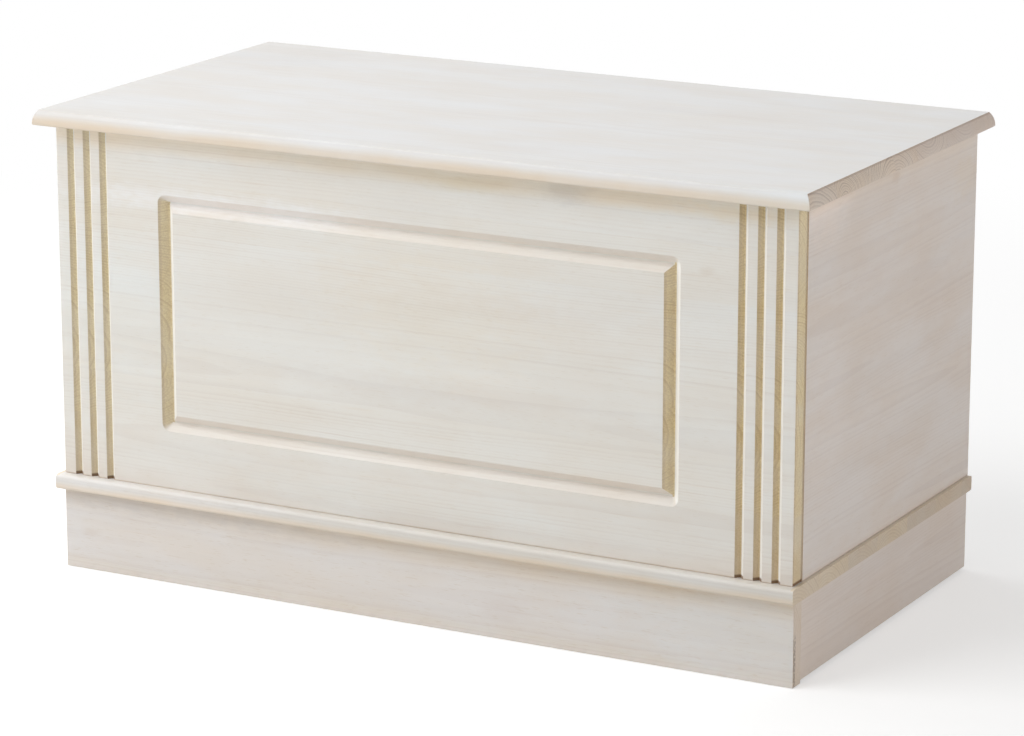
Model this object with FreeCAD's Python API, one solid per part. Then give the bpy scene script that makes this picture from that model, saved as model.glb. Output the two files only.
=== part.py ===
import FreeCAD, Part
import math
import os

# Storage chest in glued pine boards: four walls on a base board over a plinth, and a lid that opens on
# two butt hinges and is held by two folding stays. Lengths are in millimetres. X runs along the front,
# the front faces -Y and Z is up. The origin is on the floor under the middle of the lid.

V = FreeCAD.Vector
UP = V(0, 0, 1)
DOWN = V(0, 0, -1)
RIGHT = V(1, 0, 0)
BACK = V(0, 1, 0)
FRONT = V(0, -1, 0)
SIDES = (("left", -1), ("right", 1))

# Whole chest
lid_length = 890.0
lid_depth = 470.0
chest_height = 500.0

# Lid board, with a moulded edge all round
lid_thick = 16.0
lid_side_overhang = 17.0
lid_front_overhang = 17.0
lid_back_overhang = 6.0
lid_edge_inset = 5.2
lid_lower_round = 1.8

# Walls
front_thick = 20.0
side_thick = 16.0
back_thick = 16.0
side_proud = 1.0
front_arris = 1.2
wall_foot_round = 1.0

# Flutes near the ends of the front panel
flute_count = 3
flute_first = 18.5
flute_pitch = 20.0
flute_width = 9.9
flute_depth = 4.3
flute_tip = 1.4

# Routed groove that frames the middle of the front panel
groove_end_margin = 125.1
groove_top_margin = 62.7
groove_bottom_margin = 62.7
groove_width = 18.2
groove_depth = 8.5
groove_tip = 1.6
arris_ease = 0.3
ease_slope_share = 0.41

# Base board with a rounded nose along its front
base_thick = 16.0
base_front_overhang = 11.0
base_side_overhang = 4.0
base_back_overhang = 1.5
nose_top_round = 4.5
nose_bottom_round = 3.0
base_back_round = 2.5

# Plinth
plinth_height = 88.5
plinth_front_thick = 18.0
plinth_side_thick = 16.0
plinth_back_thick = 16.0
plinth_front_setback = 1.2
plinth_side_setback = 0.5
plinth_back_setback = 1.0
plinth_lift = 3.0
plinth_heel_round = 3.0
block_width = 30.0

# Battens under the lid
batten_width = 45.0
batten_thick = 18.0
batten_bevel = 4.0
batten_end_distance = 168.0
batten_front_gap = 12.0
batten_back_gap = 22.0

# Wooden dowels
dowel_radius = 4.0
dowel_length = 30.0
dowel_bevel = 0.8
dowel_end_gap = 0.4

# Cam fittings: a housing in one board takes the head of a bolt that is screwed into the other
cam_radius = 7.5
cam_distance = 34.0
cam_slot_width = 1.6
cam_slot_length = 8.0
cam_slot_depth = 2.0
cam_mouth_radius = 3.6
bolt_thread_radius = 2.9
bolt_shank_radius = 2.2
bolt_head_radius = 3.2
bolt_head_length = 4.0

# Countersunk screws: a bite is what goes into an edge, and a cover is the wood left beyond a tip
board_screw_radius = 2.0
board_screw_head = 4.0
batten_screw_radius = 1.75
batten_screw_head = 3.5
hinge_screw_radius = 1.5
hinge_screw_head = 2.8
stay_screw_radius = 1.75
stay_screw_head = 3.2
wall_screw_bite = 29.0
floor_screw_bite = 24.0
screw_cover = 5.0
screw_tip_radius = 0.5
screw_tip_length = 3.0
recess_length_share = 1.1
recess_width_share = 0.26
recess_depth_share = 0.35

# Butt hinges
hinge_length = 60.0
hinge_leaf_width = 25.0
hinge_leaf_thick = 1.5
hinge_end_distance = 150.0
hinge_pin_radius = 1.25
knuckle_radius = 2.8
knuckle_count = 5
knuckle_gap = 0.2
knuckle_clear = 0.3
hinge_mortise_gap = 0.3
pin_head_radius = 2.2
pin_head_length = 1.2
hinge_screw_inset = 9.0

# Folding stays: each makes a parallelogram with the hinge line, the lid and the side panel
stay_lid_reach = 160.0
stay_wall_reach = 120.0
stay_wall_angle = 55.0
stay_lid_drop = 12.0
stay_open_angle = 95.0
arm_half_width = 7.0
arm_thick = 2.0
layer_gap = 0.3
pivot_radius = 2.5
open_pivot_clear = 0.3
rivet_head_radius = 4.5
rivet_head_length = 1.2
stop_angle = 42.0
stop_radius = 2.0
stop_gap = 0.3
wall_plate_width = 26.0
wall_plate_height = 64.0
wall_plate_round = 5.0
lid_flange_width = 20.0
lid_flange_length = 56.0
ear_half_width = 9.0
stay_screw_inset = 9.0

# Fits
running_clear = 0.05
bore_clear = 0.05
cut_overrun = 5.0
pick_slack = 0.01

# Depths that fasteners reach into a board, as shares of its thickness
seat_share = 0.6
cam_depth_share = 0.75

# Places along a joint, as shares of its half length from its middle
wall_dowel_shares = (-0.78, 0.0, 0.78)
wall_cam_shares = (-0.4, 0.4)
long_screw_shares = (-0.8, 0.0, 0.8)
long_dowel_shares = (-0.42, 0.42)
short_screw_shares = (-0.6, 0.6)
short_dowel_shares = (0.0,)
block_screw_x_shares = (0.16, 0.5)
block_screw_y_shares = (0.33, 0.66)
batten_screw_shares = (-0.82, 0.0, 0.82)
hinge_screw_shares = (-0.72, 0.0, 0.72)
hinge_middle_inset_share = 0.6

# Planes that the sizes above give
lid_front_y = -lid_depth / 2
lid_back_y = lid_depth / 2
lid_low_z = chest_height - lid_thick
body_half = lid_length / 2 - lid_side_overhang
body_front_y = lid_front_y + lid_front_overhang
body_back_y = lid_back_y - lid_back_overhang
inner_x = body_half - side_thick
inner_front_y = body_front_y + front_thick
inner_back_y = body_back_y - back_thick
base_top_z = plinth_height + base_thick
wall_height = lid_low_z - base_top_z
wall_mid_z = base_top_z + wall_height / 2
panel_half = body_half - side_proud
side_mid_x = body_half - side_thick / 2
front_mid_y = body_front_y + front_thick / 2
back_mid_y = body_back_y - back_thick / 2
side_mid_y = (inner_front_y + inner_back_y) / 2
hinge_y = body_back_y + knuckle_clear + knuckle_radius
hinge_z = lid_low_z - knuckle_clear - knuckle_radius
hinge_x = body_half - hinge_end_distance
plinth_front_y = body_front_y + plinth_front_setback
plinth_inner_front_y = plinth_front_y + plinth_front_thick
plinth_back_y = body_back_y - plinth_back_setback
plinth_inner_back_y = plinth_back_y - plinth_back_thick
plinth_outer_x = body_half - plinth_side_setback
plinth_inner_x = plinth_outer_x - plinth_side_thick
stop_distance = (arm_half_width + stop_radius + stop_gap) / math.sin(math.radians(stop_angle))


def block(low, high):
    size = high - low
    return Part.makeBox(size.x, size.y, size.z, low)


def mirrored(shape):
    return shape.mirror(V(0, 0, 0), RIGHT)


def on_side(shape, sign):
    """The shape is drawn on the right; the left one is its mirror image."""
    if sign > 0:
        return shape
    return mirrored(shape)


def turned(points, at, direction):
    """Solid of revolution from (radius, height) points, set up at a point along a direction."""
    corners = [V(radius, 0, height) for radius, height in points]
    face = Part.Face(Part.makePolygon(corners + corners[:1]))
    solid = face.revolve(V(0, 0, 0), UP, 360)
    solid.Placement = FreeCAD.Placement(at, FreeCAD.Rotation(UP, direction))
    return solid


def drilled(board, bores):
    """The board without those bores that reach it."""
    near = [bore for bore in bores if bore.BoundBox.intersect(board.BoundBox)]
    if not near:
        return board
    return board.cut(near)


def screw(kind, at, direction, length):
    """Countersunk screw with a cross recess; its flat head is at the point given."""
    radius, head = kind
    points = [(0, 0), (head, 0), (radius, head - radius), (radius, length - screw_tip_length)]
    points += [(screw_tip_radius, length), (0, length)]
    solid = turned(points, at, direction)
    long_side = head * recess_length_share
    short_side = head * recess_width_share
    depth = head * recess_depth_share
    slots = []
    for wide, tall in ((long_side, short_side), (short_side, long_side)):
        slot = block(V(-wide / 2, -tall / 2, -cut_overrun), V(wide / 2, tall / 2, depth))
        slot.Placement = FreeCAD.Placement(at, FreeCAD.Rotation(UP, direction))
        slots.append(slot)
    return solid.cut(slots)


def screw_bore(kind, at, direction, length):
    """The hole that the screw fills, from the face that its head is flush with."""
    radius, head = kind
    points = [(0, 0), (head + bore_clear, 0)]
    points += [(radius + bore_clear, head - radius), (radius + bore_clear, length - screw_tip_length)]
    points += [(screw_tip_radius + bore_clear, length + bore_clear), (0, length + bore_clear)]
    return turned(points, at, direction)


def dowel(at, direction, seat):
    """Dowel across a joint's plane, which is at the point given; its seat is the part behind it."""
    low = -seat
    high = dowel_length - seat
    points = [(0, low), (dowel_radius - dowel_bevel, low), (dowel_radius, low + dowel_bevel)]
    points += [(dowel_radius, high - dowel_bevel), (dowel_radius - dowel_bevel, high), (0, high)]
    return turned(points, at, direction)


def dowel_bore(at, direction, seat):
    low = -seat - dowel_end_gap
    high = dowel_length - seat + dowel_end_gap
    radius = dowel_radius + bore_clear
    return turned([(0, low), (radius, low), (radius, high), (0, high)], at, direction)


def cam_bolt(at, direction, seat):
    """Bolt with its thread behind the joint's plane and its head at the cam's middle."""
    neck = cam_distance - bolt_head_length / 2
    points = [(0, -seat), (bolt_thread_radius, -seat)]
    points += [(bolt_thread_radius, 0), (bolt_shank_radius, 0), (bolt_shank_radius, neck)]
    points += [(bolt_head_radius, neck), (bolt_head_radius, neck + bolt_head_length)]
    points += [(0, neck + bolt_head_length)]
    return turned(points, at, direction)


def cam_bolt_bore(at, direction, seat):
    """Threaded hole behind the joint's plane and a wider one that runs on to the cam."""
    thread = bolt_thread_radius + bore_clear
    low = -seat - bore_clear
    points = [(0, low), (thread, low), (thread, 0), (cam_mouth_radius, 0)]
    points += [(cam_mouth_radius, cam_distance), (0, cam_distance)]
    return turned(points, at, direction)


def cam_housing(face_point, into, depth, bolt_at, bolt_direction):
    """Round housing sunk in a board's face, with a mouth for the bolt and a cross on top."""
    points = [(0, 0), (cam_radius, 0), (cam_radius, depth), (0, depth)]
    body = turned(points, face_point, into)
    reach = cam_distance + bolt_head_length
    mouth_points = [(0, 0), (cam_mouth_radius, 0), (cam_mouth_radius, reach), (0, reach)]
    cuts = [turned(mouth_points, bolt_at, bolt_direction)]
    for wide, tall in ((cam_slot_length, cam_slot_width), (cam_slot_width, cam_slot_length)):
        slot = block(V(-wide / 2, -tall / 2, -cut_overrun), V(wide / 2, tall / 2, cam_slot_depth))
        slot.Placement = FreeCAD.Placement(face_point, FreeCAD.Rotation(UP, into))
        cuts.append(slot)
    return body.cut(cuts)


def cam_pocket(face_point, into, depth):
    radius = cam_radius + bore_clear
    floor = depth + bore_clear
    points = [(0, -cut_overrun), (radius, -cut_overrun), (radius, floor), (0, floor)]
    return turned(points, face_point, into)


def arc(start, middle, end):
    return Part.Arc(start, middle, end).toShape()


def line(start, end):
    return Part.LineSegment(start, end).toShape()


def moulded_section(low, high, place):
    """Section of the lid board between two moulded edges; place turns (across, height) into a point."""
    rise = lid_thick - lid_lower_round
    radius = (rise ** 2 + lid_edge_inset ** 2) / (2 * lid_edge_inset)
    sweep = math.asin(rise / radius)
    belly_inset = radius * (1 - math.cos(sweep / 2))
    belly_height = lid_lower_round + radius * math.sin(sweep / 2)
    toe = lid_lower_round * (1 - math.cos(math.radians(45)))
    edges = []
    rows = []
    for edge, inward in ((low, 1), (high, -1)):
        foot = place(edge + inward * lid_lower_round, 0)
        toe_point = place(edge + inward * toe, toe)
        hip = place(edge, lid_lower_round)
        belly = place(edge + inward * belly_inset, belly_height)
        crest = place(edge + inward * lid_edge_inset, lid_thick)
        edges += [arc(foot, toe_point, hip), arc(hip, belly, crest)]
        rows.append((foot, crest))
    edges.append(line(rows[0][0], rows[1][0]))
    edges.append(line(rows[0][1], rows[1][1]))
    return Part.Face(Part.Wire(Part.__sortEdges__(edges)))


def lid_panel():
    """Where two moulded bars cross, their edges meet in mitres at the corners."""
    half = lid_length / 2
    along = moulded_section(lid_front_y, lid_back_y, lambda across, up: V(-half, across, lid_low_z + up))
    across = moulded_section(-half, half, lambda span, up: V(span, lid_front_y, lid_low_z + up))
    return along.extrude(RIGHT * lid_length).common(across.extrude(BACK * lid_depth))


def vee_half(width, depth, tip):
    """Half section of a routed groove as (across, depth), with a flat tip and an eased surface arris."""
    half = width / 2
    ease_depth = arris_ease * ease_slope_share
    over_width = cut_overrun / ease_slope_share
    points = [(0, depth), (tip / 2, depth), (half - arris_ease, ease_depth), (half, 0)]
    return points + [(half + over_width, -cut_overrun), (0, -cut_overrun)]


def vee_run(start, along, across, length, *size):
    """Straight run of a groove in the front face; size is its width, depth and tip."""
    half = vee_half(*size)[1:-1]
    row = half + [(-wide, deep) for wide, deep in reversed(half)]
    corners = [start + across * wide + BACK * deep for wide, deep in row]
    face = Part.Face(Part.makePolygon(corners + corners[:1]))
    return face.extrude(along * length)


def vee_corner(at, outward, *size):
    """Half section to turn into the quarter of the cutter's cone at an outer corner."""
    corners = [at + V(outward * wide, deep, 0) for wide, deep in vee_half(*size)]
    return Part.Face(Part.makePolygon(corners + corners[:1]))


def frame_groove():
    """Groove round the middle of the front panel: four runs and four quarter cones."""
    half_x = panel_half - groove_end_margin - groove_width / 2
    low_z = base_top_z + groove_bottom_margin + groove_width / 2
    high_z = lid_low_z - groove_top_margin - groove_width / 2
    y = body_front_y
    size = (groove_width, groove_depth, groove_tip)
    cuts = []
    for z in (low_z, high_z):
        cuts.append(vee_run(V(-half_x, y, z), RIGHT, UP, 2 * half_x, *size))
    for x in (-half_x, half_x):
        cuts.append(vee_run(V(x, y, low_z), UP, RIGHT, high_z - low_z, *size))
    for x, outward in ((-half_x, -1), (half_x, 1)):
        for z, turn in ((low_z, outward), (high_z, -outward)):
            at = V(x, y, z)
            face = vee_corner(at, outward, *size)
            cuts.append(face.revolve(at, BACK, turn * 90))
    return cuts


def flutes():
    """Vee flutes that run the whole height of the front panel near both ends."""
    cuts = []
    low = base_top_z - cut_overrun
    height = wall_height + 2 * cut_overrun
    for number in range(flute_count):
        x = panel_half - flute_first - number * flute_pitch
        for place in (-x, x):
            start = V(place, body_front_y, low)
            cuts.append(vee_run(start, UP, RIGHT, height, flute_width, flute_depth, flute_tip))
    return cuts


def rounded_foot(board, middle):
    """The wall with its outer lower edge rounded, found by the edge's middle."""
    foot = [edge for edge in board.Edges if (edge.CenterOfMass - middle).Length < pick_slack]
    return board.makeFillet(wall_foot_round, foot)


def front_panel():
    board = block(V(-panel_half, body_front_y, base_top_z), V(panel_half, inner_front_y, lid_low_z))
    upright = [edge for edge in board.Edges if edge.BoundBox.ZLength > wall_height - pick_slack]
    corners = [edge for edge in upright if edge.CenterOfMass.y < front_mid_y]
    board = board.makeFillet(front_arris, corners)
    board = rounded_foot(board, V(0, body_front_y, base_top_z))
    return board.cut(flutes() + frame_groove())


def side_panel(sign):
    board = block(V(inner_x, inner_front_y, base_top_z), V(body_half, body_back_y, lid_low_z))
    board = rounded_foot(board, V(body_half, (inner_front_y + body_back_y) / 2, base_top_z))
    return on_side(board, sign)


def hinge_mortises():
    """Shallow notches in the top of the back panel, where the lid leaves lie."""
    half = hinge_length / 2 + hinge_mortise_gap
    low = lid_low_z - hinge_leaf_thick - hinge_mortise_gap
    cuts = []
    for x in (-hinge_x, hinge_x):
        front = V(x - half, inner_back_y - cut_overrun, low)
        rear = V(x + half, body_back_y + cut_overrun, lid_low_z + cut_overrun)
        cuts.append(block(front, rear))
    return cuts


def back_panel():
    board = block(V(-inner_x, inner_back_y, base_top_z), V(inner_x, body_back_y, lid_low_z))
    board = rounded_foot(board, V(0, body_back_y, base_top_z))
    return board.cut(hinge_mortises())


def base_board():
    """Board between the walls and the plinth, with a rounded nose in front and an eased back edge."""
    half = body_half + base_side_overhang
    front = body_front_y - base_front_overhang
    rear = body_back_y + base_back_overhang
    board = block(V(-half, front, plinth_height), V(half, rear, base_top_z))
    rounds = [(nose_top_round, front, base_top_z), (nose_bottom_round, front, plinth_height)]
    rounds += [(base_back_round, rear, base_top_z), (base_back_round, rear, plinth_height)]
    for radius, y, z in rounds:
        along = [edge for edge in board.Edges if edge.BoundBox.XLength > half]
        level = [edge for edge in along if abs(edge.CenterOfMass.z - z) < pick_slack]
        corner = [edge for edge in level if abs(edge.CenterOfMass.y - y) < pick_slack]
        board = board.makeFillet(radius, corner)
    return board


def plinth_front():
    return block(V(-body_half, plinth_front_y, 0), V(body_half, plinth_inner_front_y, plinth_height))


def plinth_side(sign):
    low = V(plinth_inner_x, plinth_inner_front_y, plinth_lift)
    board = block(low, V(plinth_outer_x, plinth_back_y, plinth_height))
    lowest = [edge for edge in board.Edges if abs(edge.CenterOfMass.z - plinth_lift) < pick_slack]
    heel = [edge for edge in lowest if abs(edge.CenterOfMass.y - plinth_back_y) < pick_slack]
    return on_side(board.makeFillet(plinth_heel_round, heel), sign)


def plinth_back():
    """The front and back boards stand on the floor, and the side boards end above it."""
    return block(V(-plinth_inner_x, plinth_inner_back_y, 0), V(plinth_inner_x, plinth_back_y, plinth_height))


def corner_places():
    """Middle of each corner block inside the plinth, with its name and the ways out to the boards."""
    rows = []
    x = plinth_inner_x - block_width / 2
    front = plinth_inner_front_y + block_width / 2
    rear = plinth_inner_back_y - block_width / 2
    for depth_name, y, outward in (("front", front, -1), ("back", rear, 1)):
        for side_name, sign in SIDES:
            rows.append((depth_name + "_" + side_name, sign * x, y, sign, outward))
    return rows


def corner_block(x, y):
    half = block_width / 2
    return block(V(x - half, y - half, plinth_lift), V(x + half, y + half, plinth_height))


def batten(sign):
    """Cross batten that keeps the lid flat, with bevelled lower edges."""
    middle = body_half - batten_end_distance
    left = middle - batten_width / 2
    right = middle + batten_width / 2
    low = lid_low_z - batten_thick
    front = inner_front_y + batten_front_gap
    length = inner_back_y - batten_back_gap - front
    row = [(left, lid_low_z), (left, low + batten_bevel), (left + batten_bevel, low)]
    row += [(right - batten_bevel, low), (right, low + batten_bevel), (right, lid_low_z)]
    corners = [V(x, front, z) for x, z in row]
    face = Part.Face(Part.makePolygon(corners + corners[:1]))
    return on_side(face.extrude(BACK * length), sign)


def knuckles(x, first):
    """Every second knuckle of a hinge, as solid rods along its axis."""
    pitch = hinge_length / knuckle_count
    rods = []
    for number in range(first, knuckle_count, 2):
        start = x - hinge_length / 2 + number * pitch + knuckle_gap / 2
        place = V(start, hinge_y, hinge_z)
        rods.append(Part.makeCylinder(knuckle_radius, pitch - knuckle_gap, place, RIGHT))
    return rods


def knuckle_windows(x, first, low, high):
    """Room in a leaf for the other leaf's knuckles, as boxes between two (y, z) corners."""
    pitch = hinge_length / knuckle_count
    boxes = []
    for number in range(first, knuckle_count, 2):
        start = x - hinge_length / 2 + number * pitch - knuckle_gap / 2
        end = start + pitch + knuckle_gap
        boxes.append(block(V(start, low[0], low[1]), V(end, high[0], high[1])))
    return boxes


def hinge_bore(x):
    radius = hinge_pin_radius + running_clear
    start = V(x - hinge_length / 2 - cut_overrun, hinge_y, hinge_z)
    return Part.makeCylinder(radius, hinge_length + 2 * cut_overrun, start, RIGHT)


def hinge_screw_places(x, inset):
    """Places of a leaf's screws as (x, distance from the hinge line)."""
    rows = []
    for share in hinge_screw_shares:
        reach = inset
        if share == 0:
            reach = hinge_leaf_width - inset * hinge_middle_inset_share
        rows.append((x + share * hinge_length / 2, reach))
    return rows


def body_leaf(x):
    """Leaf on the back of the back panel, which hangs from the first, third and fifth knuckles."""
    half = hinge_length / 2
    window = knuckle_radius + knuckle_clear
    low = V(x - half, body_back_y, hinge_z - hinge_leaf_width)
    plate = block(low, V(x + half, body_back_y + hinge_leaf_thick, hinge_z))
    under = (body_back_y - cut_overrun, hinge_z - window)
    over = (body_back_y + cut_overrun, hinge_z + cut_overrun)
    plate = plate.cut(knuckle_windows(x, 1, under, over))
    return plate.fuse(knuckles(x, 0)).removeSplitter().cut(hinge_bore(x))


def lid_leaf(x):
    """Leaf under the lid, which lies over the top of the back panel."""
    half = hinge_length / 2
    window = knuckle_radius + knuckle_clear
    low = V(x - half, hinge_y - hinge_leaf_width, lid_low_z - hinge_leaf_thick)
    plate = block(low, V(x + half, hinge_y, lid_low_z))
    fore = (hinge_y - window, hinge_z - cut_overrun)
    rear = (hinge_y + cut_overrun, lid_low_z + cut_overrun)
    plate = plate.cut(knuckle_windows(x, 0, fore, rear))
    return plate.fuse(knuckles(x, 1)).removeSplitter().cut(hinge_bore(x))


def hinge_pin(x):
    low = -hinge_length / 2
    high = hinge_length / 2
    points = [(0, low - pin_head_length), (pin_head_radius, low - pin_head_length), (pin_head_radius, low)]
    points += [(hinge_pin_radius, low), (hinge_pin_radius, high), (pin_head_radius, high)]
    points += [(pin_head_radius, high + pin_head_length), (0, high + pin_head_length)]
    return turned(points, V(x, hinge_y, hinge_z), RIGHT)


# Pivots of a stay in the plane of its arms, as (y, z)
lid_pivot_z = lid_low_z - stay_lid_drop
lid_pivot_y = hinge_y - math.sqrt(stay_lid_reach ** 2 - (hinge_z - lid_pivot_z) ** 2)
wall_pivot_y = hinge_y - stay_wall_reach * math.cos(math.radians(stay_wall_angle))
wall_pivot_z = hinge_z - stay_wall_reach * math.sin(math.radians(stay_wall_angle))
elbow_y = lid_pivot_y + wall_pivot_y - hinge_y
elbow_z = lid_pivot_z + wall_pivot_z - hinge_z

# Layers of a stay on the right, from the side panel inwards
plate_x = inner_x - arm_thick
lower_arm_x = plate_x - layer_gap - arm_thick
upper_arm_x = lower_arm_x - layer_gap - arm_thick
tab_x = upper_arm_x - layer_gap - arm_thick


def strip(start, end, half_width, x, thick):
    """Flat bar with round ends about two (y, z) points."""
    along = V(0, end[0] - start[0], end[1] - start[1])
    along.normalize()
    across = RIGHT.cross(along)
    first = V(x, start[0], start[1])
    last = V(x, end[0], end[1])
    edges = [line(first + across * half_width, last + across * half_width)]
    edges.append(arc(last + across * half_width, last + along * half_width, last - across * half_width))
    edges.append(line(last - across * half_width, first - across * half_width))
    edges.append(arc(first - across * half_width, first - along * half_width, first + across * half_width))
    return Part.Face(Part.Wire(edges)).extrude(RIGHT * thick)


def pivot_hole(y, z, radius):
    start = V(tab_x - cut_overrun, y, z)
    return Part.makeCylinder(radius, inner_x - tab_x + 2 * cut_overrun, start, RIGHT)


def stop_place():
    """Middle of the stop pin: the upper arm's edge comes to it when the lid is fully open."""
    to_wall = math.atan2(wall_pivot_z - elbow_z, wall_pivot_y - elbow_y)
    to_lid = math.atan2(lid_pivot_z - elbow_z, lid_pivot_y - elbow_y)
    spread = to_lid - to_wall + math.radians(stay_open_angle)
    off_edge = math.asin((arm_half_width + stop_radius + stop_gap) / stop_distance)
    angle = to_wall + spread + off_edge
    return elbow_y + stop_distance * math.cos(angle), elbow_z + stop_distance * math.sin(angle)


def arm_tip():
    """End of the lower arm beyond the elbow, which carries the stop pin."""
    away = math.atan2(elbow_z - wall_pivot_z, elbow_y - wall_pivot_y)
    return elbow_y + stop_distance * math.cos(away), elbow_z + stop_distance * math.sin(away)


def lower_arm(sign):
    bar = strip((wall_pivot_y, wall_pivot_z), arm_tip(), arm_half_width, lower_arm_x, arm_thick)
    stop_y, stop_z = stop_place()
    holes = [pivot_hole(wall_pivot_y, wall_pivot_z, pivot_radius + running_clear)]
    holes.append(pivot_hole(elbow_y, elbow_z, pivot_radius + running_clear))
    holes.append(pivot_hole(stop_y, stop_z, stop_radius + bore_clear))
    return on_side(bar.cut(holes), sign)


def upper_arm(sign):
    bar = strip((lid_pivot_y, lid_pivot_z), (elbow_y, elbow_z), arm_half_width, upper_arm_x, arm_thick)
    holes = [pivot_hole(lid_pivot_y, lid_pivot_z, pivot_radius + open_pivot_clear)]
    holes.append(pivot_hole(elbow_y, elbow_z, pivot_radius + running_clear))
    return on_side(bar.cut(holes), sign)


def wall_screw_places():
    rows = []
    for way in (-1, 1):
        reach = wall_plate_height / 2 - stay_screw_inset
        rows.append((wall_pivot_y, wall_pivot_z + way * reach))
    return rows


def wall_bracket(sign):
    """Plate on the side panel that carries the lower arm."""
    half = wall_plate_width / 2
    low = V(plate_x, wall_pivot_y - half, wall_pivot_z - wall_plate_height / 2)
    high = V(inner_x, wall_pivot_y + half, wall_pivot_z + wall_plate_height / 2)
    plate = block(low, high)
    corners = [edge for edge in plate.Edges if edge.BoundBox.XLength > arm_thick / 2]
    plate = plate.makeFillet(wall_plate_round, corners)
    plate = plate.cut(pivot_hole(wall_pivot_y, wall_pivot_z, pivot_radius + bore_clear))
    return on_side(plate, sign)


def lid_screw_places():
    """Places of the lid bracket's screws as (x, y) on the right."""
    x = tab_x + arm_thick - lid_flange_width / 2
    reach = lid_flange_length / 2 - stay_screw_inset
    return [(x, lid_pivot_y - reach), (x, lid_pivot_y + reach)]


def lid_bracket(sign):
    """Angle under the lid: a flange for the screws and a rounded ear for the pivot."""
    half = lid_flange_length / 2
    edge_x = tab_x + arm_thick
    low = V(edge_x - lid_flange_width, lid_pivot_y - half, lid_low_z - arm_thick)
    flange = block(low, V(edge_x, lid_pivot_y + half, lid_low_z))
    ear = strip((lid_pivot_y, lid_pivot_z), (lid_pivot_y, lid_low_z), ear_half_width, tab_x, arm_thick)
    over = V(tab_x - cut_overrun, lid_pivot_y - half, lid_low_z)
    ear = ear.cut(block(over, V(edge_x + cut_overrun, lid_pivot_y + half, chest_height)))
    bracket = flange.fuse(ear).removeSplitter()
    bracket = bracket.cut(pivot_hole(lid_pivot_y, lid_pivot_z, pivot_radius + bore_clear))
    return on_side(bracket, sign)


def rivet(y, z, start_x, end_x, heads):
    """Pin along X between two faces; heads says at which ends it has a head."""
    rod = [Part.makeCylinder(pivot_radius, end_x - start_x, V(start_x, y, z), RIGHT)]
    low_head, high_head = heads
    if low_head:
        at = V(start_x, y, z)
        rod.append(Part.makeCylinder(rivet_head_radius, rivet_head_length, at, RIGHT))
    if high_head:
        at = V(end_x - rivet_head_length, y, z)
        rod.append(Part.makeCylinder(rivet_head_radius, rivet_head_length, at, RIGHT))
    return rod[0].fuse(rod[1:]).removeSplitter()


def wall_pivot(sign):
    start = lower_arm_x - running_clear - rivet_head_length
    return on_side(rivet(wall_pivot_y, wall_pivot_z, start, inner_x, (True, False)), sign)


def elbow_rivet(sign):
    start = upper_arm_x - running_clear - rivet_head_length
    end = lower_arm_x + arm_thick + running_clear + rivet_head_length
    return on_side(rivet(elbow_y, elbow_z, start, end, (True, True)), sign)


def lid_pivot(sign):
    end = upper_arm_x + arm_thick + layer_gap / 2 + rivet_head_length
    return on_side(rivet(lid_pivot_y, lid_pivot_z, tab_x, end, (False, True)), sign)


def stop_pin(sign):
    y, z = stop_place()
    pin = Part.makeCylinder(stop_radius, lower_arm_x + arm_thick - upper_arm_x, V(upper_arm_x, y, z), RIGHT)
    return on_side(pin, sign)


def dowel_places():
    """Every dowel as a point on its joint's plane, its way and how deep it sits behind the plane."""
    rows = []
    half_wall = wall_height / 2
    half_depth = (inner_back_y - inner_front_y) / 2
    for share in wall_dowel_shares:
        z = wall_mid_z + share * half_wall
        for name, sign in SIDES:
            rows.append((V(sign * side_mid_x, inner_front_y, z), BACK, front_thick * seat_share))
            rows.append((V(sign * inner_x, back_mid_y, z), RIGHT * -sign, side_thick * seat_share))
    for share in long_dowel_shares:
        for y in (front_mid_y, back_mid_y):
            rows.append((V(share * inner_x, y, base_top_z), UP, base_thick * seat_share))
    for share in short_dowel_shares:
        y = side_mid_y + share * half_depth
        for name, sign in SIDES:
            rows.append((V(sign * side_mid_x, y, base_top_z), UP, base_thick * seat_share))
    return rows


def cam_places():
    """Every cam fitting, as its bolt's point, way and seat and its housing's point, way and depth."""
    rows = []
    for share in wall_cam_shares:
        z = wall_mid_z + share * wall_height / 2
        for name, sign in SIDES:
            bolt = (V(sign * side_mid_x, inner_front_y, z), BACK, front_thick * seat_share)
            face = V(sign * inner_x, inner_front_y + cam_distance, z)
            rows.append((bolt, (face, RIGHT * sign, side_thick * cam_depth_share)))
            bolt = (V(sign * inner_x, back_mid_y, z), RIGHT * -sign, side_thick * seat_share)
            face = V(sign * (inner_x - cam_distance), inner_back_y, z)
            rows.append((bolt, (face, BACK, back_thick * cam_depth_share)))
    return rows


# Every screw place below is the middle of its head, its way and its length


def base_screw_places():
    """Screws that go up through the base board into the lower edges of the walls."""
    rows = []
    length = base_thick + wall_screw_bite
    half_depth = (inner_back_y - inner_front_y) / 2
    for share in long_screw_shares:
        for y in (front_mid_y, back_mid_y):
            rows.append((V(share * inner_x, y, plinth_height), UP, length))
    for share in short_screw_shares:
        y = side_mid_y + share * half_depth
        for name, sign in SIDES:
            rows.append((V(sign * side_mid_x, y, plinth_height), UP, length))
    return rows


def floor_screw_places():
    """Screws that go down through the base board into the plinth's corner blocks."""
    length = base_thick + floor_screw_bite
    return [(V(x, y, base_top_z), DOWN, length) for name, x, y, sign, outward in corner_places()]


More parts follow.
